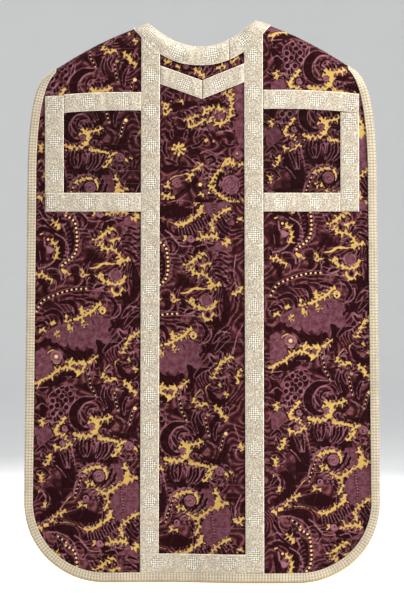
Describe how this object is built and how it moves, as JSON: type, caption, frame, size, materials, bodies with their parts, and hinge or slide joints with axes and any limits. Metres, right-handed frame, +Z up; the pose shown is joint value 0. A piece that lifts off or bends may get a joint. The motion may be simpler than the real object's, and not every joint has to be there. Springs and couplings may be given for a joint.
{
  "type": "chasuble",
  "caption": "Fiddleback velvet liturgical vestment with galloon pillars, chevron and cross arms on the back, rounded hem, lined in silk and open at both sides.",
  "frame": {"origin": "midway between the neck points, at the top of the shoulder folds, halfway between the back and the front panel", "axes": "+Z up from the hem to the shoulders, +Y from the back panel to the front panel, +X towards the wearer's right-hand side as seen from behind"},
  "size_m": [0.7, 0.061, 1.1079],
  "materials": {
    "purple_velvet": "cut and uncut aubergine pile on a mustard silk ground",
    "wide_galloon": "tarnished silver metal-thread lace, lozenge pattern",
    "edge_galloon": "narrow ribbed metal-thread braid",
    "yellow_lining": "plain mustard silk",
    "linen_interlining": "stiff unbleached linen"
  },
  "bodies": {
    "root": {"back_lining": "yellow_lining", "back_interlining": "linen_interlining", "back_centre_velvet": "purple_velvet", "back_side_velvet_left": "purple_velvet", "back_side_velvet_right": "purple_velvet", "back_arm_velvet_left": "purple_velvet", "back_arm_velvet_right": "purple_velvet", "back_foot_galloon": "wide_galloon", "back_edge_galloon": "edge_galloon", "back_pillar_galloon_left": "wide_galloon", "back_pillar_galloon_right": "wide_galloon", "back_chevron_galloon_left": "wide_galloon", "back_chevron_galloon_right": "wide_galloon", "back_arm_top_galloon_left": "wide_galloon", "back_arm_top_galloon_right": "wide_galloon", "back_arm_side_galloon_left": "wide_galloon", "back_arm_side_galloon_right": "wide_galloon", "back_arm_bottom_galloon_left": "wide_galloon", "back_arm_bottom_galloon_right": "wide_galloon", "back_neck_galloon_left": "wide_galloon", "back_neck_galloon_right": "wide_galloon", "front_lining": "yellow_lining", "front_interlining": "linen_interlining", "front_centre_velvet": "purple_velvet", "front_side_velvet_left": "purple_velvet", "front_side_velvet_right": "purple_velvet", "front_foot_galloon": "wide_galloon", "front_edge_galloon": "edge_galloon", "front_pillar_galloon_left": "wide_galloon", "front_pillar_galloon_right": "wide_galloon", "front_neck_galloon_left": "wide_galloon", "front_neck_galloon_right": "wide_galloon", "front_neck_galloon_bottom": "wide_galloon"}
  },
  "joints": []
}
